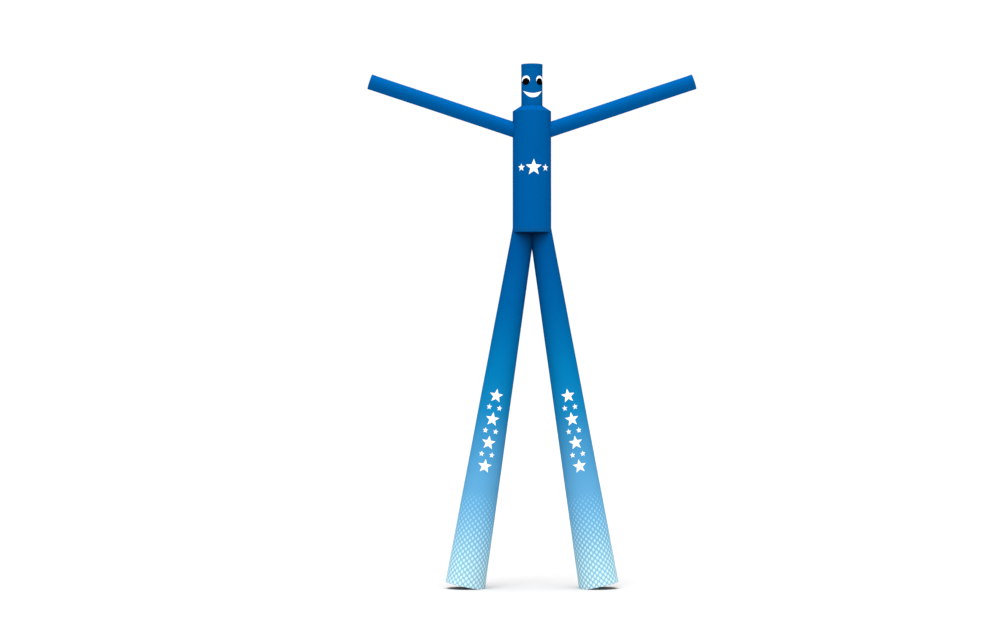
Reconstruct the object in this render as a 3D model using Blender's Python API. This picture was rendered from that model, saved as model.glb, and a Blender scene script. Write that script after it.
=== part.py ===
"""Inflatable air dancer: a figure of blown-up cloth tubes on two tapered legs, standing up full of air.

Metres, +Z up. The face looks towards -Y, and left and right are those of a viewer who looks at it.
The origin is on the ground, midway between the feet.
"""

import math

import bmesh
import bpy

# Cloth and seams
CLOTH = 0.002  # wall of every tube and panel
HEM_EXTRA = 0.001  # how far a turned and stitched hem stands out
HEM_WIDTH = 0.045
SEAM_GAP = 0.0003  # between two pieces that are sewn together

# Torso, shoulder cone and head, all about the Z axis
TORSO_RADIUS = 0.2208
TORSO_BASE_Z = 4.074
TORSO_TOP_Z = 5.459
HEAD_RADIUS = 0.1221
HEAD_BASE_Z = 5.525
HEAD_TOP_Z = 6.0

# Arms: the axis of each leaves the torso's side and rises outwards
ARM_RADIUS = 0.0875
ARM_RISE = math.radians(18.45)
ARM_ROOT_Z = 5.255  # where the axis crosses the torso's side
ARM_LENGTH = 1.728  # from there to the open hand

# Legs: the axis of each runs from the ground up to the torso's base
FOOT_X = 0.769
FOOT_RADIUS = 0.2296
HIP_X = 0.101
HIP_RADIUS = 0.1271
LEG_TILT = math.atan2(FOOT_X - HIP_X, TORSO_BASE_Z)
LEG_LENGTH = math.hypot(FOOT_X - HIP_X, TORSO_BASE_Z)

# Foot: its mouth is cut aslant, so the inner side lies on the ground and the outer side is lifted
FOOT_INNER_X = 0.5354
FOOT_OUTER_X = 0.983
FOOT_LIFT = 0.0767  # height of the mouth at its outer side
FOOT_SINK = 0.015  # how far under the ground the slanting cut would reach at the inner side
FOOT_HEM_TOP = 0.08  # top of the foot's hem along the leg's axis

# Facets, in multiples of four so that every ring has a point on +X and on +Y
BODY_SEGMENTS = 64
ARM_SEGMENTS = 48
RING_SPACING = 0.5  # longest stretch of wall without a ring of points

# How far a cutter reaches past what it cuts
REACH = 0.3
HOLE_REACH = 0.1  # shorter for an arm's hole, which goes through one side of the torso only

SIDES = {"left": -1, "right": 1}

BLUE = (0.0, 0.115, 0.39)
PALE_BLUE = (0.13, 0.42, 0.72)


def clear_scene():
    for old in list(bpy.data.objects):
        bpy.data.objects.remove(old, do_unlink=True)


def cloth_material(name, colour):
    material = bpy.data.materials.new(name)
    material.use_nodes = True
    shader = material.node_tree.nodes["Principled BSDF"]
    shader.inputs["Base Color"].default_value = (*colour, 1.0)
    shader.inputs["Roughness"].default_value = 0.5
    shader.inputs["Metallic"].default_value = 0.0
    material.diffuse_color = (*colour, 1.0)
    return material


def add_object(name, bm):
    """A smooth-shaded object made from a bmesh, which is freed."""
    mesh = bpy.data.meshes.new(name)
    bm.to_mesh(mesh)
    bm.free()
    mesh.shade_smooth()
    mesh.set_sharp_from_angle(angle=math.radians(30))
    obj = bpy.data.objects.new(name, mesh)
    bpy.context.scene.collection.objects.link(obj)
    return obj


def finish_piece(obj, root, colour):
    obj.data.materials.append(cloth_material(obj.name + "_cloth", colour))
    obj.parent = root
    return obj


def cutter(name, bm):
    obj = add_object(name, bm)
    obj.hide_render = True
    obj.display_type = "WIRE"
    return obj


def cut(obj, tool):
    boolean = obj.modifiers.new("Cut by " + tool.name, "BOOLEAN")
    boolean.operation = "DIFFERENCE"
    boolean.solver = "EXACT"
    boolean.object = tool


def spun(outline, segments):
    """A closed wall turned about Z from a closed outline of (radius, height) points."""
    bm = bmesh.new()
    points = [bm.verts.new((radius, 0.0, height)) for radius, height in outline]
    edges = [bm.edges.new(pair) for pair in zip(points, points[1:] + points[:1])]
    bmesh.ops.spin(
        bm,
        geom=points + edges,
        cent=(0, 0, 0),
        axis=(0, 0, 1),
        angle=math.tau,
        steps=segments,
        use_merge=True,
    )
    bmesh.ops.recalc_face_normals(bm, faces=bm.faces)
    return bm


def round_solid(low, high, low_radius, high_radius, segments):
    """A solid cone or cylinder about Z, from height low to height high."""
    bm = bmesh.new()
    made = bmesh.ops.create_cone(
        bm,
        cap_ends=True,
        segments=segments,
        radius1=low_radius,
        radius2=high_radius,
        depth=high - low,
    )
    bmesh.ops.translate(bm, verts=made["verts"], vec=(0, 0, (low + high) / 2))
    return bm


def extruded(outline, half_depth):
    """A solid with this outline of (x, z) points, from -half_depth to +half_depth along Y."""
    bm = bmesh.new()
    front = [bm.verts.new((x, -half_depth, z)) for x, z in outline]
    face = bm.faces.new(front)
    made = bmesh.ops.extrude_face_region(bm, geom=[face])
    back = [v for v in made["geom"] if isinstance(v, bmesh.types.BMVert)]
    bmesh.ops.translate(bm, verts=back, vec=(0, 2 * half_depth, 0))
    bmesh.ops.recalc_face_normals(bm, faces=bm.faces)
    return bm


def heights_between(low, high):
    count = max(1, math.ceil((high - low) / RING_SPACING))
    return [low + (high - low) * i / count for i in range(count + 1)]


def tube_outline(low, high, radius_at, low_hem_top=None, high_hem_base=None):
    """The wall of a tube: up its outer side, with a raised band at each hem, and down its inner side."""
    plain_low = low if low_hem_top is None else low_hem_top
    plain_high = high if high_hem_base is None else high_hem_base
    outer = [(radius_at(z), z) for z in heights_between(plain_low, plain_high)]
    if low_hem_top is not None:
        outer = [(radius_at(z) + HEM_EXTRA, z) for z in (low, low_hem_top)] + outer
    if high_hem_base is not None:
        outer += [(radius_at(z) + HEM_EXTRA, z) for z in (high_hem_base, high)]
    inner = [(radius_at(z) - CLOTH, z) for z in reversed(heights_between(low, high))]
    return outer + inner


def leg_radius(along):
    """The leg's outer radius at a distance along its axis, counted from the ground."""
    return FOOT_RADIUS + (HIP_RADIUS - FOOT_RADIUS) * along / LEG_LENGTH


def place_leg(obj, side):
    obj.location = (side * FOOT_X, 0, 0)
    obj.rotation_euler = (0, -side * LEG_TILT, 0)


def place_arm(obj, side):
    obj.location = (side * TORSO_RADIUS, 0, ARM_ROOT_Z)
    obj.rotation_euler = (0, side * (math.pi / 2 - ARM_RISE), 0)


def torso_cutter(name, low_z, high_z, radius):
    """A cylinder on the torso's axis, which trims what meets the torso from outside."""
    return cutter(name, round_solid(low_z, high_z, radius, radius, BODY_SEGMENTS))


def make_torso(root):
    """A straight tube, hemmed at its base, with a round hole where each arm opens into it."""
    height = TORSO_TOP_Z - TORSO_BASE_Z
    outline = tube_outline(0, height, lambda z: TORSO_RADIUS, low_hem_top=HEM_WIDTH)
    torso = add_object("torso_tube", spun(outline, BODY_SEGMENTS))
    torso.location = (0, 0, TORSO_BASE_Z)
    bore = ARM_RADIUS - CLOTH
    for label, side in SIDES.items():
        drill = round_solid(-HOLE_REACH, HOLE_REACH, bore, bore, ARM_SEGMENTS)
        hole = cutter("arm_hole_" + label, drill)
        place_arm(hole, side)
        cut(torso, hole)
    return finish_piece(torso, root, BLUE)


def make_shoulder_cone(root):
    """The sloping panel that narrows the torso to the head, with its two edges cut level."""
    low, high = TORSO_TOP_Z + SEAM_GAP, HEAD_BASE_Z - SEAM_GAP
    slope_length = math.hypot(TORSO_RADIUS - HEAD_RADIUS, high - low)
    level_width = CLOTH * slope_length / (high - low)
    outline = [
        (TORSO_RADIUS, low),
        (HEAD_RADIUS, high),
        (HEAD_RADIUS - level_width, high),
        (TORSO_RADIUS - level_width, low),
    ]
    cone = add_object("shoulder_cone", spun(outline, BODY_SEGMENTS))
    return finish_piece(cone, root, BLUE)


def make_head(root):
    """A straight tube, open and hemmed at its top, where air blows out."""
    height = HEAD_TOP_Z - HEAD_BASE_Z
    outline = tube_outline(0, height, lambda z: HEAD_RADIUS, high_hem_base=height - HEM_WIDTH)
    head = add_object("head_tube", spun(outline, BODY_SEGMENTS))
    head.location = (0, 0, HEAD_BASE_Z)
    return finish_piece(head, root, BLUE)


def make_arm(label, side, root):
    """A straight tube, trimmed to the torso's side and open and hemmed at the hand."""
    outline = tube_outline(
        -ARM_RADIUS, ARM_LENGTH, lambda z: ARM_RADIUS, high_hem_base=ARM_LENGTH - HEM_WIDTH
    )
    arm = add_object("arm_" + label, spun(outline, ARM_SEGMENTS))
    place_arm(arm, side)
    trim = torso_cutter(
        "armhole_trim_" + label,
        ARM_ROOT_Z - REACH,
        ARM_ROOT_Z + REACH,
        TORSO_RADIUS + SEAM_GAP,
    )
    cut(arm, trim)
    return finish_piece(arm, root, BLUE)


def foot_cutter(label, side):
    """All that lies under the ground or under the slanting mouth of one foot."""
    slope = (FOOT_LIFT + FOOT_SINK) / (FOOT_OUTER_X - FOOT_INNER_X)
    crease_x = FOOT_INNER_X + FOOT_SINK / slope
    far_x = FOOT_OUTER_X + REACH
    outline = [
        (FOOT_INNER_X - REACH, 0),
        (crease_x, 0),
        (far_x, slope * (far_x - crease_x)),
        (far_x, -REACH),
        (FOOT_INNER_X - REACH, -REACH),
    ]
    mirrored = [(side * x, z) for x, z in outline]
    return cutter("foot_trim_" + label, extruded(mirrored, REACH + FOOT_RADIUS))


def make_leg(label, side, root):
    """A tapered tube: hemmed at its foot, joined to its twin above the crotch, let into the torso's base.

    Its outer side laps a little way up the outside of the torso, because the hips are wider than it.
    """
    outline = tube_outline(
        -2 * FOOT_SINK, LEG_LENGTH + HIP_RADIUS, leg_radius, low_hem_top=FOOT_HEM_TOP
    )
    leg = add_object("leg_" + label, spun(outline, BODY_SEGMENTS))
    place_leg(leg, side)
    cut(leg, foot_cutter(label, side))
    cut(
        leg,
        torso_cutter(
            "hip_trim_" + label,
            TORSO_BASE_Z - SEAM_GAP,
            TORSO_BASE_Z + REACH,
            TORSO_RADIUS + HEM_EXTRA + SEAM_GAP,
        ),
    )
    middle = side * SEAM_GAP / 2
    twin_side = [
        (middle, TORSO_BASE_Z - 2 * REACH),
        (middle, TORSO_BASE_Z + REACH),
        (middle - side * REACH, TORSO_BASE_Z + REACH),
        (middle - side * REACH, TORSO_BASE_Z - 2 * REACH),
    ]
    cut(leg, cutter("crotch_trim_" + label, extruded(twin_side, REACH)))
    return finish_piece(leg, root, PALE_BLUE)


def make_gusset(name, front, root):
    """The level panel that closes the torso's base in front of the legs, or behind them."""
    top = TORSO_BASE_Z - SEAM_GAP
    radius = TORSO_RADIUS + HEM_EXTRA
    gusset = add_object(name, round_solid(top - CLOTH, top, radius, radius, BODY_SEGMENTS))
    for label, side in SIDES.items():
        low, high = LEG_LENGTH - REACH, LEG_LENGTH + REACH
        leg_space = round_solid(
            low,
            high,
            leg_radius(low) + SEAM_GAP,
            leg_radius(high) + SEAM_GAP,
            BODY_SEGMENTS,
        )
        hole = cutter(name + "_leg_hole_" + label, leg_space)
        place_leg(hole, side)
        cut(gusset, hole)
    far_y = radius + REACH if front else -radius - REACH
    other_half = bmesh.new()
    made = bmesh.ops.create_cube(other_half, size=1.0)
    bmesh.ops.scale(other_half, verts=made["verts"], vec=(2 * abs(far_y), abs(far_y), 1.0))
    bmesh.ops.translate(other_half, verts=made["verts"], vec=(0, far_y / 2, top))
    cut(gusset, cutter(name + "_half", other_half))
    return finish_piece(gusset, root, BLUE)


def main():
    clear_scene()
    root = bpy.data.objects.new("air_dancer", None)
    bpy.context.scene.collection.objects.link(root)
    make_head(root)
    make_shoulder_cone(root)
    make_torso(root)
    make_gusset("base_gusset_front", True, root)
    make_gusset("base_gusset_back", False, root)
    for label, side in SIDES.items():
        make_arm(label, side, root)
        make_leg(label, side, root)


main()
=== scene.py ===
"""Looks of an inflatable air dancer: tubes of printed ripstop cloth with hems, seams and stitches.

Metres, +Z up. The face looks towards -Y, and left and right are those of a viewer who looks at it.
Every tube has a UV map named "cloth" in metres: U runs round it from the middle of its front, and
V runs along it, so prints, weave and seams are laid out as on the flat cloth.
"""

import math

import bpy
import numpy as np
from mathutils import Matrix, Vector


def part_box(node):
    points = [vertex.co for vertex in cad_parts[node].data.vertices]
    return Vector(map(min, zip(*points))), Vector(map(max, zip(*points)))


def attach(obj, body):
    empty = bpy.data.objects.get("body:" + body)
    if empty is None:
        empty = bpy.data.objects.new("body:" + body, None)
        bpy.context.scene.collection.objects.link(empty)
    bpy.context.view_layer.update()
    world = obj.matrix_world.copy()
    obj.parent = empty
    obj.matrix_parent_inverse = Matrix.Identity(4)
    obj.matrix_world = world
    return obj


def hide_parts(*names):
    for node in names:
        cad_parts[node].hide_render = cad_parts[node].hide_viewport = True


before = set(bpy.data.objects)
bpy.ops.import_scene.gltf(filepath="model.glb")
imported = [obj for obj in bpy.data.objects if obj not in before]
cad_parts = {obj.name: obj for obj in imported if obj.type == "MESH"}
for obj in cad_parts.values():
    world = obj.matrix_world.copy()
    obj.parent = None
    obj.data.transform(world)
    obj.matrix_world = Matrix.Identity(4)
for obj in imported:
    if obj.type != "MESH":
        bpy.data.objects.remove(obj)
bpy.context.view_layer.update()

# Cloth, hems and seams, as in the frame
CLOTH = 0.002
HEM_EXTRA = 0.001
HEM_WIDTH = 0.045
SEAM_GAP = 0.0003

# Torso, cone and head, read from the frame
TORSO_LOW, TORSO_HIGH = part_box("torso_tube")
HEAD_LOW, HEAD_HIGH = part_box("head_tube")
TORSO_RADIUS = TORSO_HIGH.x - HEM_EXTRA
HEAD_RADIUS = HEAD_HIGH.x - HEM_EXTRA

# Arms and legs, as in the frame
ARM_RADIUS = 0.0875
ARM_RISE = math.radians(18.45)
ARM_ROOT_Z = 5.255
ARM_LENGTH = 1.728
FOOT_X = 0.769
FOOT_RADIUS = 0.2296
HIP_X = 0.101
HIP_RADIUS = 0.1271
LEG_TILT = math.atan2(FOOT_X - HIP_X, TORSO_LOW.z)
LEG_LENGTH = math.hypot(FOOT_X - HIP_X, TORSO_LOW.z)
LEG_TAPER = (HIP_RADIUS - FOOT_RADIUS) / LEG_LENGTH
FOOT_INNER_X = 0.5354
FOOT_OUTER_X = 0.983
FOOT_LIFT = 0.0767  # height of the mouth at its outer side
FOOT_SINK = 0.015  # how far under the ground the slanting edge would reach at the inner side
FOOT_HEM_WIDTH = 0.041
SIDES = {"left": -1, "right": 1}

# Relief of the cloth, all of it small, because the cloth is taut
PUCKER_HEIGHT = 0.0011
PUCKER_REACH = 0.030  # distance over which a pucker dies out
PUCKER_START = 0.006  # distance over which it rises beside the stitches
PUCKER_PITCH = 0.052
SMALL_PUCKER_PITCH = 0.031
SMALL_PUCKER_SHARE = 0.7
SEAM_PUCKER_PITCH = 0.067
SEAM_HEIGHT = 0.0010
SEAM_HALF_WIDTH = 0.006
STEP_HALF_WIDTH = 0.001  # half the slope at the edge of a hem or a seam
DRIFT_HEIGHT = 0.0008
EDGE_ROUNDING = 0.0007

# Where the mesh has rings and columns of points, besides the even ones
EDGE_RINGS = (0.0008, 0.004, 0.010)  # from an edge
PLAIN_EDGE_RING = 0.018  # from an edge without a hem
HEM_RINGS = (-0.008, -STEP_HALF_WIDTH, 0.0, STEP_HALF_WIDTH, 0.005, 0.011)  # from a hem's inner end
SEAM_COLUMNS = (-STEP_HALF_WIDTH, STEP_HALF_WIDTH, 0.006)  # from the seam's side
SEAM_ROOM = 0.013  # from the seam's side to the first even column

# Stitches, and how far their rows lie from an edge or from the seam's middle
STITCH_PITCH = 0.0048
STITCH_LENGTH = 0.0032
STITCH_WIDTH = 0.0010
HEM_STITCH_ROWS = (0.008, 0.040)
FOOT_STITCH_ROWS = (0.008, 0.036)
EDGE_STITCH_ROW = 0.004
CONE_STITCH_ROW = 0.0025
SEAM_STITCH_ROW = 0.0035
POINTS_ROUND = 721  # on the path of a row that runs round a tube
POINTS_ALONG = 1200  # on the path of a row that runs along one

# Camera and light
CAMERA_PLACE = (-0.366, -30.0, 2.5)
CAMERA_PITCH = math.radians(1.247)  # upwards
CAMERA_LENS = 94.3
SENSOR_WIDTH = 36.0
STUDIO_LIGHT = 1.48  # light on a front surface, as a multiple of a white surface's brightness
LIGHTEST_INK = 0.9
LAMP_DISTANCE = 15.0
FLOOR_SIZE = 240.0
FLOOR_DROP = 0.0005


def linear(level):
    """One channel of a display colour, 0 to 255, as linear light."""
    share = level / 255
    return share / 12.92 if share <= 0.04045 else ((share + 0.055) / 1.055) ** 2.4


def ink(red, green, blue):
    """The cloth colour that looks like this display colour in the studio light."""
    shares = [min(LIGHTEST_INK, linear(level) / STUDIO_LIGHT) for level in (red, green, blue)]
    return (*shares, 1.0)


BLUE = ink(0, 95, 168)
CONE_BLUE = ink(0, 91, 164)
HEAD_BLUE = ink(0, 97, 167)
HEM_BLUE = ink(8, 91, 156)
WHITE = (0.86, 0.86, 0.87, 1.0)
BLACK = (0.0015, 0.0012, 0.0012, 1.0)
THREAD_BLUE = ink(6, 100, 172)
THREAD_PALE = ink(190, 222, 242)

# The legs' colour by height along the leg, from the ground up
LEG_COLOURS = (
    (0.00, ink(151, 207, 231)),
    (0.28, ink(144, 203, 230)),
    (0.51, ink(131, 195, 228)),
    (0.74, ink(119, 188, 226)),
    (0.97, ink(107, 181, 226)),
    (1.25, ink(98, 175, 224)),
    (2.05, ink(25, 141, 199)),
    (2.42, ink(6, 129, 190)),
    (2.90, ink(2, 112, 176)),
    (3.30, ink(1, 99, 167)),
    (3.75, ink(1, 90, 160)),
    (4.20, ink(0, 86, 156)),
)

# The dots' colour, by the same height
DOT_COLOURS = (
    (0.00, ink(230, 256, 262)),
    (0.28, ink(214, 252, 262)),
    (0.51, ink(198, 241, 262)),
    (0.74, ink(170, 226, 260)),
    (0.97, ink(138, 206, 250)),
    (1.16, ink(104, 181, 230)),
)


def smooth(low, high, value):
    """0 below low and 1 above high, with a soft slope between."""
    share = np.clip((value - low) / (high - low), 0.0, 1.0)
    return share * share * (3 - 2 * share)


def up_to(edge, distance):
    """1 on the near side of a hem's or a seam's edge and 0 past it."""
    return 1 - smooth(edge - STEP_HALF_WIDTH, edge + STEP_HALF_WIDTH, distance)


def pucker_fade(distance):
    """Strength of a pucker by its distance from the stitches."""
    return np.exp(-distance / PUCKER_REACH) * smooth(0.0, PUCKER_START, distance)


class Tube:
    """A round tube. A point on it is given by its angle from the front and its distance along the axis."""

    def __init__(self, origin, axis, radius):
        self.origin = np.array(origin, float)
        self.axis = np.array(axis, float)
        self.front = np.array((0.0, -1.0, 0.0))
        self.right = np.array((axis[2], 0.0, -axis[0]))
        self.radius = radius

    def outward(self, angle):
        return np.cos(angle)[..., None] * self.front + np.sin(angle)[..., None] * self.right

    def point(self, angle, along, proud):
        reach = self.radius(along) + proud
        return self.origin + along[..., None] * self.axis + reach[..., None] * self.outward(angle)


class Wall:
    """The cloth of one tube, between a low edge and a high edge that may be slanting or curved."""

    def __init__(self, name, tube, low, high, low_hem=0.0, high_hem=0.0, seed=0):
        self.name = name
        self.tube = tube
        self.low = low
        self.high = high
        self.low_hem = low_hem
        self.high_hem = high_hem
        self.phases = np.random.default_rng(seed).uniform(0, math.tau, 12)

    def proud(self, angle, along):
        """How far the outer face stands out from the tube's plain radius."""
        radius = self.tube.radius(along)
        from_low = along - self.low(angle)
        from_high = self.high(angle) - along
        height = DRIFT_HEIGHT * self.drift(angle, along)
        for distance, hem in ((from_low, self.low_hem), (from_high, self.high_hem)):
            if hem:
                height = height + HEM_EXTRA * up_to(hem, distance)
            height = height + self.puckers(np.abs(distance - hem), angle, radius)
        seam = (math.pi - np.abs(angle)) * radius
        height = height + SEAM_HEIGHT * up_to(SEAM_HALF_WIDTH, seam)
        return height + self.seam_puckers(np.abs(seam - SEAM_HALF_WIDTH), along)

    def drift(self, angle, along):
        """Slow unevenness of the blown-up tube, from -1 to 1."""
        a = self.phases
        slow = np.sin(2 * angle + 3.1 * along + a[0]) + np.sin(3 * angle - 4.7 * along + a[1])
        return (slow + np.sin(angle + 7.3 * along + a[2])) / 3

    def puckers(self, distance, angle, radius):
        """Small gathers that run away from a stitched ring."""
        a = self.phases
        round_it = math.tau * float(np.mean(radius))
        wide = round(round_it / PUCKER_PITCH)
        narrow = round(round_it / SMALL_PUCKER_PITCH)
        wave = np.sin(wide * angle + a[3] + 1.5 * np.sin(2 * angle + a[4]))
        small = np.sin(narrow * angle + a[5] + 1.2 * np.sin(3 * angle + a[6]))
        wave = (wave + SMALL_PUCKER_SHARE * small) / (1 + SMALL_PUCKER_SHARE)
        strength = 0.55 + 0.45 * np.sin(4 * angle + a[7])
        return PUCKER_HEIGHT * pucker_fade(distance) * strength * (1 + wave) / 2

    def seam_puckers(self, distance, along):
        """Small gathers on both sides of the lengthwise seam."""
        a = self.phases
        wave = np.sin(along * math.tau / SEAM_PUCKER_PITCH + a[8] + 1.4 * np.sin(along * 5.0 + a[9]))
        strength = 0.6 + 0.4 * np.sin(along * 9.0 + a[10])
        return PUCKER_HEIGHT * pucker_fade(distance) * strength * (1 + wave) / 2


def edge_steps(hem):
    """Distances from an edge at which a ring of points is needed: its rounding, and its hem's step."""
    if not hem:
        return [*EDGE_RINGS, PLAIN_EDGE_RING]
    return [*EDGE_RINGS, hem / 2] + [hem + step for step in HEM_RINGS]


def angle_steps(segments, radius):
    """Angles all round from the seam at the back, closer together beside the seam."""
    beside = [0.0] + [SEAM_HALF_WIDTH + step for step in SEAM_COLUMNS]
    beside = [-math.pi + step / radius for step in beside]
    rest = math.pi - (SEAM_HALF_WIDTH + SEAM_ROOM) / radius
    middle = list(np.linspace(-rest, rest, segments))
    return np.array(beside + middle + [-step for step in reversed(beside)])


def wall_rings(wall, angle, rings, inner_rings):
    """The outline of the cloth's section as rings: up the outer face, round the rim, down the inner face.

    Each ring is (distance along, height proud of the radius), one value an angle. The second result is
    the index of the first ring on the inner side.
    """
    low, high = wall.low(angle), wall.high(angle)
    low_steps, high_steps = edge_steps(wall.low_hem), edge_steps(wall.high_hem)
    along = [low + step for step in low_steps]
    first, last = low + low_steps[-1], high - high_steps[-1]
    along += [first + (last - first) * i / rings for i in range(1, rings)]
    along += [high - step for step in reversed(high_steps)]
    outer = [(ring, wall.proud(angle, ring)) for ring in along]
    thin = -CLOTH + np.zeros_like(angle)
    inner = [(low + (high - low) * i / inner_rings, thin) for i in range(1, inner_rings)]
    inner = [(low + low_steps[0], thin)] + inner + [(high - low_steps[0], thin)]
    top_rim = [(high, outer[-1][1] - EDGE_ROUNDING), (high, thin + EDGE_ROUNDING)]
    low_rim = [(low, thin + EDGE_ROUNDING), (low, outer[0][1] - EDGE_ROUNDING)]
    return outer + top_rim + list(reversed(inner)) + low_rim, len(outer) + 1


def mesh_object(name, points, faces, uvs, material_indices, materials):
    """A smooth-shaded object in world coordinates. uvs holds one pair for each corner of each face."""
    mesh = bpy.data.meshes.new(name)
    mesh.from_pydata(points.tolist(), [], faces.tolist())
    if uvs is not None:
        layer = mesh.uv_layers.new(name="cloth")
        layer.data.foreach_set("uv", np.asarray(uvs, np.float32).ravel())
    for material in materials:
        mesh.materials.append(material)
    if material_indices is not None:
        mesh.polygons.foreach_set("material_index", np.asarray(material_indices, np.int32))
    mesh.shade_smooth()
    mesh.update()
    obj = bpy.data.objects.new(name, mesh)
    bpy.context.scene.collection.objects.link(obj)
    return obj


def wall_object(wall, materials, segments, rings, inner_rings, ground=None):
    """The closed cloth of one tube, with its outer print and its paler inside, lifted onto any ground."""
    mean_radius = float(wall.tube.radius(wall.high(np.zeros(1)) / 2)[0])
    angle = angle_steps(segments, mean_radius)
    sections, first_inner = wall_rings(wall, angle[:-1], rings, inner_rings)
    points = np.array([wall.tube.point(angle[:-1], along, proud) for along, proud in sections])
    if ground is not None:
        points[..., 2] = np.maximum(points[..., 2], ground)
    ring_count, round_count = points.shape[:2]
    row, column = np.meshgrid(np.arange(ring_count), np.arange(round_count), indexing="ij")
    next_row, next_column = (row + 1) % ring_count, (column + 1) % round_count
    corners = [(row, column), (row, next_column), (next_row, next_column), (next_row, column)]
    faces = np.stack([r * round_count + c for r, c in corners], axis=-1).reshape(-1, 4)
    distance = np.array([along for along, proud in sections])
    uvs = []
    for corner, (r, c) in enumerate(corners):
        turned = angle[column + 1] if corner in (1, 2) else angle[column]
        along = distance[r, c]
        uvs.append(np.stack([turned * wall.tube.radius(along), along], axis=-1))
    uvs = np.stack(uvs, axis=2).reshape(-1, 4, 2)
    inside = (row >= first_inner) & (row < ring_count - 2)
    return mesh_object(
        wall.name, points.reshape(-1, 3), faces, uvs, inside.reshape(-1).astype(int), materials
    )


def stitch_points(centres, tangents, normals):
    """Six points for each stitch: a small lozenge that lies on the cloth."""
    across = np.cross(tangents, normals)
    half_long = tangents * STITCH_LENGTH / 2
    half_wide = across * STITCH_WIDTH / 2
    half_high = normals * STITCH_WIDTH / 2
    offsets = (half_long, -half_long, half_wide, -half_wide, half_high, -half_high)
    return np.stack([centres + offset for offset in offsets], axis=1)


STITCH_FACES = np.array(
    [(0, 2, 4), (2, 1, 4), (1, 3, 4), (3, 0, 4), (2, 0, 5), (1, 2, 5), (3, 1, 5), (0, 3, 5)]
)


def along_path(places, distance, path):
    """The points at these distances along a path."""
    return np.stack([np.interp(places, distance, path[:, i]) for i in range(3)], axis=1)


def stitch_row(wall, angle, along):
    """Lozenges at an even pitch along a path on the wall's outer face."""
    path = wall.tube.point(angle, along, wall.proud(angle, along))
    steps = np.linalg.norm(np.diff(path, axis=0), axis=1)
    distance = np.concatenate([[0.0], np.cumsum(steps)])
    places = np.arange(STITCH_PITCH / 2, distance[-1], STITCH_PITCH)
    centres = along_path(places, distance, path)
    ahead = np.minimum(places + STITCH_LENGTH / 2, distance[-1])
    behind = ahead - STITCH_LENGTH
    tangents = along_path(ahead, distance, path) - along_path(behind, distance, path)
    tangents /= np.linalg.norm(tangents, axis=1, keepdims=True)
    normals = wall.tube.outward(np.interp(places, distance, angle))
    return stitch_points(centres, tangents, normals)


def ring_row(wall, from_low=None, from_high=None):
    """A row of stitches round the tube at a distance from one of its edges."""
    angle = np.linspace(-math.pi, math.pi, POINTS_ROUND)
    along = wall.low(angle) + from_low if from_low is not None else wall.high(angle) - from_high
    return stitch_row(wall, angle, along)


def seam_rows(wall):
    """Two rows of stitches along the seam at the tube's back."""
    back = np.array([math.pi])
    along = np.linspace(float(wall.low(back)[0]), float(wall.high(back)[0]), POINTS_ALONG)
    turn = math.pi - SEAM_STITCH_ROW / wall.tube.radius(along)
    return [stitch_row(wall, sign * turn, along) for sign in (-1, 1)]


def stitches_object(name, rows, material):
    points = np.concatenate(rows)
    first = np.arange(len(points))[:, None, None] * points.shape[1]
    faces = (STITCH_FACES[None] + first).reshape(-1, 3)
    return mesh_object(name, points.reshape(-1, 3), faces, None, None, [material])


PRINT_SOFTNESS = 0.0015  # width of a print's soft edge


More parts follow.
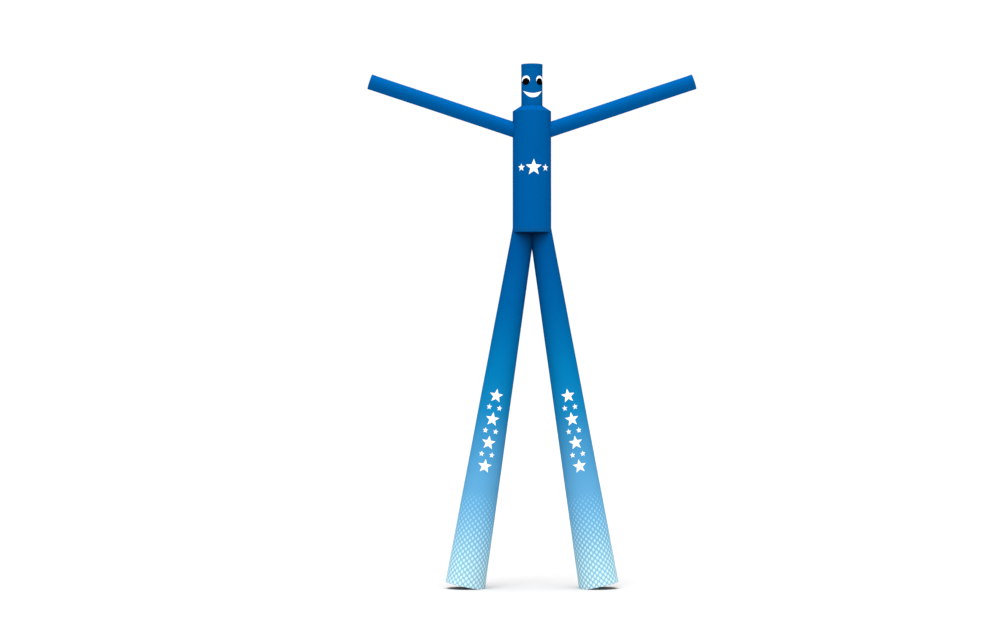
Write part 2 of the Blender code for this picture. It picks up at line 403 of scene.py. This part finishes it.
class Graph:
    """Short calls for shader nodes, so that a print reads like a formula."""

    def __init__(self, name):
        self.material = bpy.data.materials.new(name)
        self.material.use_nodes = True
        self.tree = self.material.node_tree
        self.shader = self.tree.nodes["Principled BSDF"]

    def node(self, kind, **settings):
        made = self.tree.nodes.new(kind)
        for key, value in settings.items():
            setattr(made, key, value)
        return made

    def feed(self, socket, value):
        if isinstance(value, bpy.types.NodeSocket):
            self.tree.links.new(value, socket)
        elif value is not None:
            socket.default_value = value

    def math(self, operation, *values, clamp=False):
        made = self.node("ShaderNodeMath", operation=operation, use_clamp=clamp)
        for socket, value in zip(made.inputs, values):
            self.feed(socket, value)
        return made.outputs[0]

    def add(self, a, b):
        return self.math("ADD", a, b)

    def sub(self, a, b):
        return self.math("SUBTRACT", a, b)

    def mul(self, a, b):
        return self.math("MULTIPLY", a, b)

    def div(self, a, b):
        return self.math("DIVIDE", a, b)

    def length(self, a, b):
        return self.math("SQRT", self.add(self.mul(a, a), self.mul(b, b)))

    def inside(self, distance, softness=PRINT_SOFTNESS):
        """1 where the signed distance in metres is below zero and 0 above, with a soft edge."""
        return self.math("MULTIPLY_ADD", distance, -1 / softness, 0.5, clamp=True)

    def both(self, a, b):
        return self.math("MINIMUM", a, b)

    def either(self, a, b):
        return self.math("MAXIMUM", a, b)

    def mix(self, share, a, b):
        made = self.node("ShaderNodeMix", data_type="RGBA")
        self.feed(made.inputs[0], share)
        self.feed(made.inputs[6], a)
        self.feed(made.inputs[7], b)
        return made.outputs[2]

    def cloth_place(self):
        """U and V of the cloth, in metres."""
        made = self.node("ShaderNodeUVMap", uv_map="cloth")
        split = self.node("ShaderNodeSeparateXYZ")
        self.feed(split.inputs[0], made.outputs[0])
        return split.outputs[0], split.outputs[1]

    def noise(self, scale, detail):
        """Cloudy values from 0 to 1, by the place on the object."""
        place = self.node("ShaderNodeTexCoord").outputs["Object"]
        made = self.node("ShaderNodeTexNoise")
        self.feed(made.inputs["Vector"], place)
        self.feed(made.inputs["Scale"], scale)
        self.feed(made.inputs["Detail"], detail)
        return made.outputs[0]

    def ramp(self, value, low, high, stops):
        """Colours by value. Each stop is (value, colour), in rising order."""
        made = self.node("ShaderNodeValToRGB")
        self.feed(made.inputs[0], self.math("MULTIPLY_ADD", value, 1 / (high - low), -low / (high - low)))
        elements = made.color_ramp.elements
        while len(elements) < len(stops):
            elements.new(1.0)
        for element, (place, colour) in zip(elements, stops):
            element.position = (place - low) / (high - low)
            element.color = colour
        return made.outputs[0]


WEAVE_PITCH = 0.0012
RIPSTOP_PITCH = 0.0055
RIPSTOP_THREAD = 0.0004
WEAVE_DEPTH = 0.00006
WEAVE_STRENGTH = 0.5
FINE_HEIGHT = 0.35  # of the fine threads, as a share of the thick ones
CLOUD_SCALE = 2.2
CLOUD_DETAIL = 3.0
CLOTH_SHADE = (0.10, 0.95)  # the colour's shade is the clouds times the first, plus the second
THICK_SHADE = 0.05
CLOTH_ROUGHNESS = (0.16, 0.48)  # in the same way
THICK_ROUGHNESS = -0.06
INSIDE_WASH = 0.12  # how much white is mixed into the print on the inside


def ripstop(graph, u, v):
    """The fine threads, from -1 to 1, and the thick ones that cross every few millimetres, 0 or 1."""
    fine_u = graph.math("SINE", graph.mul(u, math.tau / WEAVE_PITCH))
    fine_v = graph.math("SINE", graph.mul(v, math.tau / WEAVE_PITCH))
    fine = graph.mul(fine_u, fine_v)
    lines = []
    for value in (u, v):
        near = graph.math("PINGPONG", value, RIPSTOP_PITCH / 2)
        lines.append(graph.inside(graph.sub(near, RIPSTOP_THREAD), RIPSTOP_THREAD))
    return fine, graph.either(lines[0], lines[1])


def cloth_material(name, print_colour, pale=0.0):
    """Printed ripstop polyester. print_colour(graph, u, v) gives the colour, and pale washes it out."""
    graph = Graph(name)
    u, v = graph.cloth_place()
    fine, thick = ripstop(graph, u, v)
    colour = print_colour(graph, u, v)
    if pale:
        colour = graph.mix(pale, colour, WHITE)
    clouds = graph.noise(CLOUD_SCALE, CLOUD_DETAIL)
    shade = graph.math("MULTIPLY_ADD", clouds, *CLOTH_SHADE)
    shade = graph.math("MULTIPLY_ADD", thick, THICK_SHADE, shade)
    tint = graph.node("ShaderNodeMix", data_type="RGBA", blend_type="MULTIPLY")
    tint.inputs[0].default_value = 1.0
    graph.feed(tint.inputs[6], colour)
    grey = graph.node("ShaderNodeCombineXYZ")
    for socket in grey.inputs:
        graph.feed(socket, shade)
    graph.feed(tint.inputs[7], grey.outputs[0])
    graph.feed(graph.shader.inputs["Base Color"], tint.outputs[2])
    roughness = graph.math("MULTIPLY_ADD", clouds, *CLOTH_ROUGHNESS)
    roughness = graph.math("MULTIPLY_ADD", thick, THICK_ROUGHNESS, roughness)
    graph.feed(graph.shader.inputs["Roughness"], roughness)
    graph.shader.inputs["Specular IOR Level"].default_value = 0.0
    bump = graph.node("ShaderNodeBump")
    bump.inputs["Strength"].default_value = WEAVE_STRENGTH
    bump.inputs["Distance"].default_value = WEAVE_DEPTH
    graph.feed(bump.inputs["Height"], graph.math("MULTIPLY_ADD", fine, FINE_HEIGHT, thick))
    graph.feed(graph.shader.inputs["Normal"], bump.outputs[0])
    return graph.material


def both_faces(name, outside, inside):
    """The materials of a tube's cloth: its print, and the paler one of its inside."""
    return [cloth_material(f"{name}_print", outside), cloth_material(f"{name}_inside", inside, INSIDE_WASH)]


def plain_print(colour):
    """One colour all over."""
    return lambda graph, u, v: graph.mix(0.0, colour, colour)


# The face, as seen from straight in front of it: sideways from its own middle, and heights in the frame
FACE_TURN = math.radians(5.7)
EYE_SPREAD = 0.0782
EYE_Z = 5.8130
EYE_HALF_WIDTH = 0.0420
EYE_HALF_HEIGHT = 0.0492
PUPIL_Z = 5.7933
PUPIL_HALF_WIDTH = 0.0380
PUPIL_HALF_HEIGHT = 0.0410
SMILE_HALF_WIDTH = 0.1065
SMILE_CORNER_Z = 5.6910
SMILE_SHIFT = -0.002
SMILE_UPPER_SAG = 0.0305
SMILE_LOWER_SAG = 0.0790
SMILE_ROUNDNESS = 2.4


def ellipse(graph, u, v, half_width, half_height):
    """1 inside an ellipse round the place where u and v are 0."""
    size = graph.length(graph.div(u, half_width), graph.div(v, half_height))
    return graph.inside(graph.mul(graph.sub(size, 1.0), min(half_width, half_height)))


def from_front(graph, u, radius, turn):
    """How far a place on a tube is from the middle of a print that was drawn to be seen from the front.

    Past the tube's sides it goes on along the cloth, so nothing is repeated at the back.
    """
    angle = graph.sub(graph.div(u, radius), turn)
    facing = graph.either(graph.both(angle, math.pi / 2), -math.pi / 2)
    past = graph.sub(angle, facing)
    return graph.mul(graph.add(graph.math("SINE", facing), past), radius)


def face_print(graph, u, v):
    """Blue, with two round eyes that look down a little and a broad smile."""
    along = from_front(graph, u, HEAD_RADIUS, FACE_TURN)
    aside = graph.sub(graph.math("ABSOLUTE", along), EYE_SPREAD)
    height = graph.add(v, HEAD_LOW.z)
    white = ellipse(graph, aside, graph.sub(height, EYE_Z), EYE_HALF_WIDTH, EYE_HALF_HEIGHT)
    pupil = ellipse(graph, aside, graph.sub(height, PUPIL_Z), PUPIL_HALF_WIDTH, PUPIL_HALF_HEIGHT)
    from_smile = graph.math("ABSOLUTE", graph.sub(along, SMILE_SHIFT))
    share = graph.div(from_smile, SMILE_HALF_WIDTH)
    under_corner = graph.sub(SMILE_CORNER_Z, height)
    upper = graph.mul(graph.sub(1.0, graph.mul(share, share)), SMILE_UPPER_SAG)
    lower = graph.mul(graph.sub(1.0, graph.math("POWER", share, SMILE_ROUNDNESS)), SMILE_LOWER_SAG)
    smile = graph.both(
        graph.inside(graph.sub(upper, under_corner)), graph.inside(graph.sub(under_corner, lower))
    )
    colour = graph.mix(graph.either(white, smile), HEAD_BLUE, WHITE)
    return graph.mix(pupil, colour, BLACK)


STAR_WAIST = 0.42  # inner corners of a star, as a share of its points' distance from the middle
STAR_TURN = math.radians(36)  # from a point to the next inner corner


def star(graph, u, v, tip):
    """A plain five-pointed star with one point up. tip is the distance from its middle to a point."""
    turn = graph.math("PINGPONG", graph.math("ARCTAN2", u, v), STAR_TURN)
    size = graph.length(u, v)
    x = graph.mul(size, graph.math("COSINE", turn))
    y = graph.mul(size, graph.math("SINE", turn))
    waist = STAR_WAIST * tip
    normal = (waist * math.sin(STAR_TURN), tip - waist * math.cos(STAR_TURN))
    scale = math.hypot(*normal)
    over = graph.add(graph.mul(x, normal[0] / scale), graph.mul(y, normal[1] / scale))
    return graph.inside(graph.sub(over, tip * normal[0] / scale))


CHEST_TURN = math.radians(5.0)
CHEST_Z = 4.803
CHEST_STAR = 0.098
CHEST_SMALL_STAR = 0.047
CHEST_SPREAD = 0.150


def chest_print(graph, u, v):
    """Blue, with one large star between two small ones, and a darker, greyer blue along the hem."""
    along = graph.sub(u, CHEST_TURN * TORSO_RADIUS)
    height = graph.sub(v, CHEST_Z - TORSO_LOW.z)
    large = star(graph, along, height, CHEST_STAR)
    aside = graph.sub(graph.math("ABSOLUTE", along), CHEST_SPREAD)
    small = star(graph, aside, height, CHEST_SMALL_STAR)
    hem = graph.inside(graph.sub(v, HEM_WIDTH))
    return graph.mix(graph.either(large, small), graph.mix(hem, BLUE, HEM_BLUE), WHITE)


LEG_STAR_MIDDLE = 1.825
LEG_STAR_REACH = 0.505
LEG_STAR_PITCH = 0.27
LEG_STAR = 0.082
LEG_SMALL_STAR = 0.034
LEG_SMALL_SPREAD = 0.060
DOT_PITCH = 0.062  # between the dots of one row
DOT_ROW_PITCH = 0.066  # between one row and the next but one
DOT_HALF_WIDTH = 0.0155
DOT_HALF_HEIGHT = 0.0205
DOTS_TOP = 1.16
DOTS_FADE = 0.12
DOT_SMALLEST = 0.70  # share of a full dot
DOT_SOFTNESS = 0.004


def repeated(graph, value, pitch):
    """The distance from the middle of the nearest repeat, from -pitch/2 to pitch/2."""
    return graph.math("WRAP", value, pitch / 2, -pitch / 2)


def dots(graph, u, v):
    """Staggered rows of dots that fade in at the top and grow to nearly touching at the foot."""
    share = graph.math("MULTIPLY_ADD", v, (DOT_SMALLEST - 1) / DOTS_TOP, 1.0)
    nearest = None
    for shift in (0.0, 0.5):
        across = repeated(graph, graph.add(u, shift * DOT_PITCH), DOT_PITCH)
        up = repeated(graph, graph.add(v, shift * DOT_ROW_PITCH), DOT_ROW_PITCH)
        size = graph.length(graph.div(across, DOT_HALF_WIDTH), graph.div(up, DOT_HALF_HEIGHT))
        nearest = size if nearest is None else graph.both(nearest, size)
    spot = graph.inside(graph.mul(graph.sub(nearest, share), DOT_HALF_WIDTH), DOT_SOFTNESS)
    fade = graph.math("MULTIPLY_ADD", v, -1 / DOTS_FADE, DOTS_TOP / DOTS_FADE, clamp=True)
    return graph.mul(spot, fade)


# The pocket in front of the legs' tops, under the torso's rim
OVERHANG_MIDDLE = 0.070  # how far the rim stands out past the front of a leg
OVERHANG_INWARD = 0.085  # and how much more it does towards the other leg
POCKET_REACH = 1.25  # how far down the shade reaches, as a share of the overhang
POCKET_DEPTH = 0.95  # share of the colour that the shade takes where it is deepest
OVERHANG_LEAST = 0.02  # under a smaller one the shade fades out, as the leg laps over the torso's side


def pocket_shade(graph, side, u, v):
    """Shade in the narrow pocket under the torso's rim, deepest where the two legs meet."""
    inward = graph.mul(graph.math("SINE", graph.div(u, HIP_RADIUS)), -side)
    overhang = graph.math("MULTIPLY_ADD", inward, OVERHANG_INWARD, OVERHANG_MIDDLE)
    covered = graph.math("DIVIDE", overhang, OVERHANG_LEAST, clamp=True)
    overhang = graph.either(overhang, CLOTH)
    rim = graph.math("MULTIPLY_ADD", inward, HIP_RADIUS * math.tan(LEG_TILT), LEG_LENGTH)
    below = graph.either(graph.sub(rim, v), 0.0)
    depth = graph.div(below, graph.mul(overhang, -POCKET_REACH))
    return graph.mul(graph.mul(graph.math("EXPONENT", depth), POCKET_DEPTH), covered)


def leg_print_and_painted_shade(side):
    """From blue at the hip to pale blue at the foot, with a column of stars above the dots, and painted
    shade under the torso's rim.
    """

    def colour_at(graph, u, v):
        base = graph.ramp(v, 0.0, LEG_COLOURS[-1][0], LEG_COLOURS)
        from_middle = graph.sub(v, LEG_STAR_MIDDLE)
        up = repeated(graph, graph.add(from_middle, LEG_STAR_PITCH / 2), LEG_STAR_PITCH)
        large = star(graph, u, up, LEG_STAR)
        up = repeated(graph, from_middle, LEG_STAR_PITCH)
        aside = graph.sub(graph.math("ABSOLUTE", u), LEG_SMALL_SPREAD)
        small = star(graph, aside, up, LEG_SMALL_STAR)
        in_column = graph.inside(graph.sub(graph.math("ABSOLUTE", from_middle), LEG_STAR_REACH))
        stars = graph.both(graph.either(large, small), in_column)
        dot_colour = graph.ramp(v, 0.0, DOT_COLOURS[-1][0], DOT_COLOURS)
        dotted = graph.mix(dots(graph, u, v), base, dot_colour)
        printed = graph.mix(stars, dotted, WHITE)
        # Painted shade: the print is darkened towards black in the pocket under the torso's rim
        return graph.mix(pocket_shade(graph, side, u, v), printed, BLACK)

    return colour_at


THREAD_CLOUD_SCALE = 160.0
THREAD_CLOUD_DETAIL = 2.0
THREAD_DARKEST = 0.72  # share of its colour
THREAD_ROUGHNESS = (0.2, 0.5)  # the clouds times the first, plus the second
THREAD_SHEEN = 0.2


def thread_material(name, colour):
    """Spun polyester thread, a little uneven in shade."""
    graph = Graph(name)
    clouds = graph.noise(THREAD_CLOUD_SCALE, THREAD_CLOUD_DETAIL)
    darker = (*[THREAD_DARKEST * channel for channel in colour[:3]], 1.0)
    graph.feed(graph.shader.inputs["Base Color"], graph.mix(clouds, darker, colour))
    graph.feed(graph.shader.inputs["Roughness"], graph.math("MULTIPLY_ADD", clouds, *THREAD_ROUGHNESS))
    graph.shader.inputs["Specular IOR Level"].default_value = THREAD_SHEEN
    return graph.material


def put(obj):
    """The piece belongs to the one body."""
    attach(obj, "root")
    return obj


def put_sheet(obj, node):
    """The piece takes the place of a CAD node, which is hidden."""
    put(obj)
    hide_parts(node)


def level(value):
    """An edge that is square to the tube's axis."""
    return lambda angle: np.full_like(angle, value)


def straight(radius):
    """The radius of a tube that is equally wide all along."""
    return lambda along: np.full_like(along, radius)


def make_head(blue_thread):
    height = HEAD_HIGH.z - HEAD_LOW.z
    tube = Tube((0, 0, HEAD_LOW.z), (0, 0, 1), straight(HEAD_RADIUS))
    wall = Wall("head", tube, level(0.0), level(height), high_hem=HEM_WIDTH, seed=3)
    materials = both_faces("head", face_print, plain_print(HEAD_BLUE))
    head = wall_object(wall, materials, segments=160, rings=40, inner_rings=12)
    rows = [ring_row(wall, from_high=row) for row in HEM_STITCH_ROWS]
    rows += [ring_row(wall, from_low=EDGE_STITCH_ROW)] + seam_rows(wall)
    stitches = put(stitches_object("head_stitches", rows, blue_thread))
    put_sheet(head, "head_tube")


def make_cone(blue_thread):
    low_box, high_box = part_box("shoulder_cone")
    height = high_box.z - low_box.z
    rise = (HEAD_RADIUS - TORSO_RADIUS) / height
    tube = Tube((0, 0, low_box.z), (0, 0, 1), lambda along: TORSO_RADIUS + rise * along)
    wall = Wall("shoulder_panel", tube, level(0.0), level(height), seed=5)
    materials = both_faces("shoulder", plain_print(CONE_BLUE), plain_print(CONE_BLUE))
    cone = wall_object(wall, materials, segments=192, rings=14, inner_rings=6)
    rows = [ring_row(wall, from_low=CONE_STITCH_ROW), ring_row(wall, from_high=CONE_STITCH_ROW)]
    stitches = put(stitches_object("shoulder_stitches", rows, blue_thread))
    put_sheet(cone, "shoulder_cone")


def make_torso(blue_thread):
    height = TORSO_HIGH.z - TORSO_LOW.z
    tube = Tube((0, 0, TORSO_LOW.z), (0, 0, 1), straight(TORSO_RADIUS))
    wall = Wall("torso", tube, level(0.0), level(height), low_hem=HEM_WIDTH, seed=7)
    materials = both_faces("torso", chest_print, plain_print(BLUE))
    torso = wall_object(wall, materials, segments=240, rings=110, inner_rings=24)
    for side in SIDES.values():
        cut_arm_hole(torso, side)
    rows = [ring_row(wall, from_low=row) for row in HEM_STITCH_ROWS]
    rows += [ring_row(wall, from_high=EDGE_STITCH_ROW)] + seam_rows(wall)
    stitches = put(stitches_object("torso_stitches", rows, blue_thread))
    put_sheet(torso, "torso_tube")


ARM_HOLE_REACH = 0.1  # how far the cut goes into the torso, and out of it


def cut_arm_hole(torso, side):
    """Opens the torso's wall where an arm starts."""
    bpy.ops.mesh.primitive_cylinder_add(
        vertices=96,
        radius=ARM_RADIUS - CLOTH,
        depth=2 * ARM_HOLE_REACH,
        location=(side * TORSO_RADIUS, 0, ARM_ROOT_Z),
        rotation=(0, side * (math.pi / 2 - ARM_RISE), 0),
    )
    cutter = bpy.context.object
    boolean = torso.modifiers.new("Arm hole", "BOOLEAN")
    boolean.operation = "DIFFERENCE"
    boolean.solver = "EXACT"
    boolean.object = cutter
    evaluated = torso.evaluated_get(bpy.context.evaluated_depsgraph_get())
    mesh = bpy.data.meshes.new_from_object(evaluated)
    torso.modifiers.clear()
    torso.data = mesh
    bpy.data.objects.remove(cutter, do_unlink=True)


def arm_root(side):
    """Where the arm's cloth meets the torso's side, along the arm, at each angle."""
    meets = TORSO_RADIUS + SEAM_GAP

    def along(angle):
        across = np.sqrt(meets**2 - (ARM_RADIUS * np.cos(angle)) ** 2)
        tilt = side * ARM_RADIUS * np.sin(angle) * math.sin(ARM_RISE)
        return (across - TORSO_RADIUS - tilt) / math.cos(ARM_RISE)

    return along


def make_arm(label, side, blue_thread):
    axis = (side * math.cos(ARM_RISE), 0, math.sin(ARM_RISE))
    tube = Tube((side * TORSO_RADIUS, 0, ARM_ROOT_Z), axis, straight(ARM_RADIUS))
    name = f"arm_{label}_cloth"
    wall = Wall(name, tube, arm_root(side), level(ARM_LENGTH), high_hem=HEM_WIDTH, seed=11 + side)
    materials = both_faces(f"arm_{label}", plain_print(BLUE), plain_print(BLUE))
    arm = wall_object(wall, materials, segments=112, rings=150, inner_rings=24)
    rows = [ring_row(wall, from_high=row) for row in HEM_STITCH_ROWS]
    rows += [ring_row(wall, from_low=EDGE_STITCH_ROW)] + seam_rows(wall)
    stitches = put(stitches_object(f"arm_{label}_stitches", rows, blue_thread))
    put_sheet(arm, f"arm_{label}")


def leg_radius(along):
    return FOOT_RADIUS + LEG_TAPER * along


def foot_edge(side):
    """The leg's low edge: level on the ground at its inner side, slanting up towards its outer side."""
    slope = (FOOT_LIFT + FOOT_SINK) / (FOOT_OUTER_X - FOOT_INNER_X)
    crease_x = FOOT_INNER_X + FOOT_SINK / slope
    sine, cosine = math.sin(LEG_TILT), math.cos(LEG_TILT)

    def along(angle):
        outer = side * np.sin(angle)
        # Where the tube's side meets the ground, and where it meets the slanting plane of the mouth
        ground = -FOOT_RADIUS * outer * sine / (cosine + LEG_TAPER * outer * sine)
        reach = slope * (FOOT_X - crease_x) + FOOT_RADIUS * outer * (slope * cosine - sine)
        rise = cosine + LEG_TAPER * outer * sine + slope * (sine - LEG_TAPER * outer * cosine)
        return np.maximum(ground, reach / rise)

    return along


# How the leg's high edge is looked for: from below the hip to above it in steps, then by halving a step
HIP_SEARCH_BELOW = 1.5
HIP_SEARCH_ABOVE = 0.3
HIP_SEARCH_STEP = 0.005
HIP_SEARCH_HALVINGS = 12
HIP_SEARCH_ANGLES = 2881


def hip_edge(side, tube):
    """The leg's high edge: at its twin, under the torso's base or at its side, whichever comes first."""
    torso_reach = TORSO_RADIUS + HEM_EXTRA + SEAM_GAP

    def blocked(angle, along):
        place = tube.point(angle, along, 0.0)
        out = side * place[..., 0]
        in_torso = (place[..., 2] > TORSO_LOW.z - SEAM_GAP) & (np.hypot(out, place[..., 1]) < torso_reach)
        return in_torso | (out < SEAM_GAP / 2)

    def along_at(angle):
        steps = np.arange(LEG_LENGTH - HIP_SEARCH_BELOW, LEG_LENGTH + HIP_SEARCH_ABOVE, HIP_SEARCH_STEP)
        stopped = blocked(angle[None, :], np.broadcast_to(steps[:, None], (len(steps), len(angle))))
        high = steps[np.argmax(stopped, axis=0)]
        low = high - HIP_SEARCH_STEP
        for _ in range(HIP_SEARCH_HALVINGS):
            middle = (low + high) / 2
            too_far = blocked(angle, middle)
            high = np.where(too_far, middle, high)
            low = np.where(too_far, low, middle)
        return low

    table_angle = np.linspace(-math.pi, math.pi, HIP_SEARCH_ANGLES)
    table_along = along_at(table_angle)
    return lambda angle: np.interp(angle, table_angle, table_along)


def make_leg(label, side, blue_thread, pale_thread):
    axis = (-side * math.sin(LEG_TILT), 0, math.cos(LEG_TILT))
    tube = Tube((side * FOOT_X, 0, 0), axis, leg_radius)
    name = f"leg_{label}_cloth"
    wall = Wall(name, tube, foot_edge(side), hip_edge(side, tube), low_hem=FOOT_HEM_WIDTH, seed=21 + side)
    # Both faces of the leg carry the painted shade under the torso's rim
    materials = both_faces(f"leg_{label}", leg_print_and_painted_shade(side), leg_print_and_painted_shade(side))
    leg = wall_object(wall, materials, segments=184, rings=300, inner_rings=40, ground=0.0)
    rows = [ring_row(wall, from_high=EDGE_STITCH_ROW)] + seam_rows(wall)
    seams = put(stitches_object(f"leg_{label}_stitches", rows, blue_thread))
    rows = [ring_row(wall, from_low=row) for row in FOOT_STITCH_ROWS]
    hem = put(stitches_object(f"leg_{label}_hem_stitches", rows, pale_thread))
    put_sheet(leg, f"leg_{label}")


def leg_front(x, z):
    """How far a leg's outer face stands out towards the front, at a place x from the middle and z high."""
    out = np.abs(x) - FOOT_X
    along = z * math.cos(LEG_TILT) - out * math.sin(LEG_TILT)
    room = (leg_radius(along) + SEAM_GAP) ** 2 - (out**2 + z**2 - along**2)
    return np.sqrt(np.maximum(room, 0.0))


GUSSET_BULGE = 0.006
GUSSET_COLUMNS = 96
GUSSET_ROWS = 18
GUSSET_TIP = math.radians(84)  # the last columns are at its sine, as a share of the way to the tips
TIP_SEARCH_START = 0.1
TIP_SEARCH_POINTS = 4000


def make_gusset(label, forward):
    """The level panel between the torso's base and the legs, pressed out a little by the air."""
    top = TORSO_LOW.z - SEAM_GAP
    radius = TORSO_RADIUS + HEM_EXTRA
    x = np.linspace(TIP_SEARCH_START, radius, TIP_SEARCH_POINTS)
    tip_x = float(x[np.argmax(np.sqrt(radius**2 - x**2) < leg_front(x, top))])
    x = tip_x * np.sin(np.linspace(-GUSSET_TIP, GUSSET_TIP, GUSSET_COLUMNS))
    outer, inner = np.sqrt(radius**2 - x**2), leg_front(x, top)
    share = np.linspace(0, 1, GUSSET_ROWS)[:, None]
    deep = outer - inner
    y = inner + deep * share
    sag = GUSSET_BULGE * 4 * share * (1 - share) * deep / float(np.max(deep))
    upper = np.stack([np.broadcast_to(x, y.shape), -forward * y, top - sag], axis=-1)
    lower = upper - np.array((0, 0, CLOTH))
    flat_uv = upper[..., :2].reshape(-1, 2)
    points = np.concatenate([upper.reshape(-1, 3), lower.reshape(-1, 3)])
    faces, sheet_size = gusset_faces(forward)
    uvs = flat_uv[faces % sheet_size]
    materials = [cloth_material(f"gusset_{label}_print", plain_print(BLUE))]
    gusset = mesh_object(f"gusset_{label}", points, faces, uvs, None, materials)
    put_sheet(gusset, f"base_gusset_{label}")


def gusset_faces(forward):
    """Quads of the two faces and the rim of a panel whose points are two grids, the upper one first."""
    size = GUSSET_ROWS * GUSSET_COLUMNS
    row, column = np.meshgrid(np.arange(GUSSET_ROWS - 1), np.arange(GUSSET_COLUMNS - 1), indexing="ij")
    corner = (row * GUSSET_COLUMNS + column).reshape(-1)
    upper = np.stack([corner, corner + GUSSET_COLUMNS, corner + GUSSET_COLUMNS + 1, corner + 1], axis=1)
    rim = list(range(GUSSET_COLUMNS))
    rim += [r * GUSSET_COLUMNS + GUSSET_COLUMNS - 1 for r in range(1, GUSSET_ROWS)]
    rim += [(GUSSET_ROWS - 1) * GUSSET_COLUMNS + c for c in reversed(range(GUSSET_COLUMNS - 1))]
    rim += [r * GUSSET_COLUMNS for r in reversed(range(1, GUSSET_ROWS - 1))]
    rim = np.array(rim)
    following = np.roll(rim, -1)
    side = np.stack([rim, following, following + size, rim + size], axis=1)
    faces = np.concatenate([upper, upper[:, ::-1] + size, side])
    if forward < 0:
        faces = faces[:, ::-1]
    return faces, size


def make_camera():
    data = bpy.data.cameras.new("Camera")
    data.lens = CAMERA_LENS
    data.sensor_width = SENSOR_WIDTH
    data.clip_end = 4 * FLOOR_SIZE
    camera = bpy.data.objects.new("Camera", data)
    camera.location = CAMERA_PLACE
    camera.rotation_euler = (math.pi / 2 + CAMERA_PITCH, 0, 0)
    bpy.context.scene.collection.objects.link(camera)
    bpy.context.scene.camera = camera


# Brightness of the studio's white walls and grey ceiling, and the rise at which one fades into the other
WALL_BRIGHTNESS = 1.04
CEILING_BRIGHTNESS = 0.30
WALL_TOP = math.radians(10)  # where the white walls of the studio begin to fade, seen from the figure
CEILING_START = math.radians(15)
FLOOR_COLOUR = (0.532, 0.525, 0.521, 1.0)

# The lamps: strength, spread, rise above the horizon, and turn from the front, to the left where negative
OVERHEAD = (4.25, math.radians(60), math.radians(85), math.radians(-10))
FRONT = (1.31, math.radians(60), math.radians(35), math.radians(5))
LEFT = (0.70, math.radians(25), math.radians(53), math.radians(-24))


def make_lamp(name, strength, spread, rise, turn):
    """A lamp as broad as its spread, so that its shadows are soft."""
    data = bpy.data.lights.new(name, "SUN")
    data.energy = strength
    data.angle = spread
    lamp = bpy.data.objects.new(name, data)
    lamp.rotation_euler = (math.pi / 2 - rise, 0, turn)
    lamp.location = (0, -LAMP_DISTANCE * math.cos(rise), LAMP_DISTANCE * math.sin(rise))
    bpy.context.scene.collection.objects.link(lamp)


def make_light():
    """A studio with white walls and a grey ceiling, and three soft lamps."""
    make_lamp("Overhead lamp", *OVERHEAD)
    make_lamp("Front lamp", *FRONT)
    make_lamp("Left lamp", *LEFT)
    world = bpy.data.worlds.new("Studio")
    world.use_nodes = True
    tree = world.node_tree
    background = tree.nodes["Background"]
    background.inputs["Color"].default_value = (1.0, 1.0, 1.0, 1.0)
    direction = tree.nodes.new("ShaderNodeTexCoord").outputs["Generated"]
    split = tree.nodes.new("ShaderNodeSeparateXYZ")
    tree.links.new(direction, split.inputs[0])
    fade = tree.nodes.new("ShaderNodeMapRange")
    tree.links.new(split.outputs["Z"], fade.inputs["Value"])
    fade.inputs["From Min"].default_value = math.sin(WALL_TOP)
    fade.inputs["From Max"].default_value = math.sin(CEILING_START)
    fade.inputs["To Min"].default_value = WALL_BRIGHTNESS
    fade.inputs["To Max"].default_value = CEILING_BRIGHTNESS
    tree.links.new(fade.outputs["Result"], background.inputs["Strength"])
    bpy.context.scene.world = world


def make_floor():
    half = FLOOR_SIZE / 2
    places = ((-half, -half), (half, -half), (half, half), (-half, half))
    corners = np.array([(x, y, -FLOOR_DROP) for x, y in places])
    material = bpy.data.materials.new("floor")
    material.use_nodes = True
    shader = material.node_tree.nodes["Principled BSDF"]
    shader.inputs["Base Color"].default_value = FLOOR_COLOUR
    shader.inputs["Roughness"].default_value = 1.0
    shader.inputs["Specular IOR Level"].default_value = 0.0
    floor = mesh_object("floor", corners, np.array([(0, 1, 2, 3)]), None, None, [material])


def main():
    make_camera()
    make_light()
    make_floor()
    bpy.context.scene.view_settings.view_transform = "Standard"
    blue_thread = thread_material("thread_blue", THREAD_BLUE)
    pale_thread = thread_material("thread_pale", THREAD_PALE)
    make_head(blue_thread)
    make_cone(blue_thread)
    make_torso(blue_thread)
    for label, side in SIDES.items():
        make_arm(label, side, blue_thread)
        make_leg(label, side, blue_thread, pale_thread)
    make_gusset("front", 1)
    make_gusset("back", -1)
    bpy.context.view_layer.update()


main()
